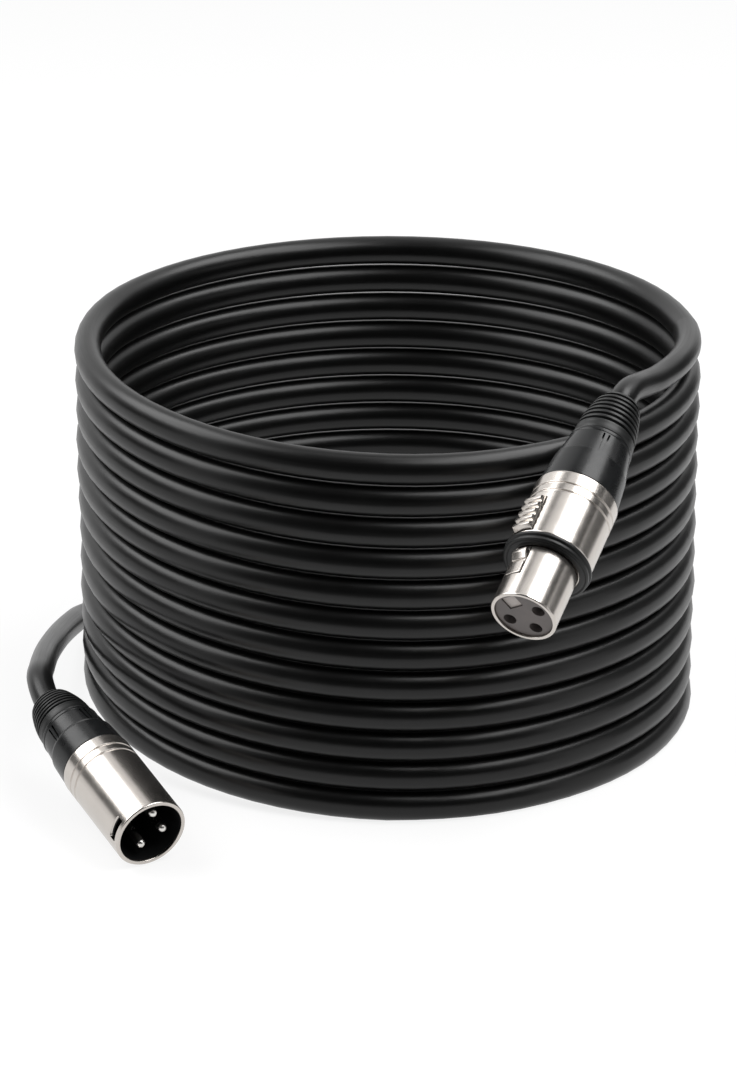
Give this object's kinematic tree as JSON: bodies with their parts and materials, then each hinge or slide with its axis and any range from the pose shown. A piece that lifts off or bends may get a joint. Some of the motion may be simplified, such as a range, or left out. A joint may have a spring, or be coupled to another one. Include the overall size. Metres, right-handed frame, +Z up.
{
  "type": "xlr cable coil",
  "caption": "Microphone cable wound into a standing coil, with a latching female connector hanging from its top turn and a male pin connector lying beside its foot.",
  "frame": {"origin": "on the coil's axis, at the level of the floor that the coil stands on", "axes": "+Z up along the coil's axis; -Y towards the side that the picture was taken from, so +X is to the right of it"},
  "size_m": [0.1718, 0.2011, 0.1071],
  "materials": {
    "cable_jacket": "satin black PVC jacket",
    "boot_rubber": "satin moulded rubber",
    "nickel": "satin nickel plating over die-cast zinc",
    "black_plastic": "satin black moulded plastic",
    "insert_plastic": "matte warm grey moulded plastic",
    "key_plastic": "matte pale grey moulded plastic",
    "brass": "turned brass",
    "silver_plate": "bright silver plating",
    "copper": "tinned copper strands in coloured insulation"
  },
  "bodies": {
    "cable_and_shells": {"cable_coil": "cable_jacket", "cable_lead_female": "cable_jacket", "cable_lead_male": "cable_jacket", "female_shell": "nickel", "female_ring": "boot_rubber", "female_insert": "insert_plastic", "female_key_block": "key_plastic", "female_contact_1": "brass", "female_contact_2": "brass", "female_contact_3": "brass", "female_latch_pin": "silver_plate", "female_latch_spring": "silver_plate", "female_conductors": "copper", "male_shell": "nickel", "male_insert": "black_plastic", "male_pin_1": "silver_plate", "male_pin_2": "silver_plate", "male_pin_3": "silver_plate", "male_conductors": "copper"},
    "latch": {"female_latch": "nickel"},
    "female_collet": {"female_chuck": "black_plastic"},
    "female_sleeve": {"female_bushing": "black_plastic", "female_boot": "boot_rubber"},
    "male_collet": {"male_chuck": "black_plastic"},
    "male_sleeve": {"male_bushing": "black_plastic", "male_boot": "boot_rubber"}
  },
  "joints": [
    {"name": "latch_press", "type": "hinge", "parent": "cable_and_shells", "child": "latch", "pos_m": [0.03752, -0.09318, 0.08957], "axis": [0.6957, -0.5667, 0.4415], "range_deg": [0, 3.2], "stiffness_Nm_per_rad": 1.2, "springref_deg": -1.72, "deforming": ["female_latch_spring"]},
    {"name": "female_collet_slide", "type": "slide", "parent": "cable_and_shells", "child": "female_collet", "axis": [0.3591, 0.8066, 0.4695], "range_m": [0, 0.001]},
    {"name": "female_sleeve_turn", "type": "hinge", "parent": "female_collet", "child": "female_sleeve", "pos_m": [0.04697, -0.0808, 0.09056], "axis": [0.3591, 0.8066, 0.4695], "range_deg": [0, 360]},
    {"name": "male_collet_slide", "type": "slide", "parent": "cable_and_shells", "child": "male_collet", "axis": [-0.5015, 0.8281, 0.2504], "range_m": [0, 0.001]},
    {"name": "male_sleeve_turn", "type": "hinge", "parent": "male_collet", "child": "male_sleeve", "pos_m": [-0.07295, -0.07681, 0.01717], "axis": [-0.5015, 0.8281, 0.2504], "range_deg": [0, 360]}
  ],
  "couplings": [
    {"joint": "female_collet_slide", "follows": "female_sleeve_turn", "m_per_rad": 0.00015914},
    {"joint": "male_collet_slide", "follows": "male_sleeve_turn", "m_per_rad": 0.00015914}
  ]
}
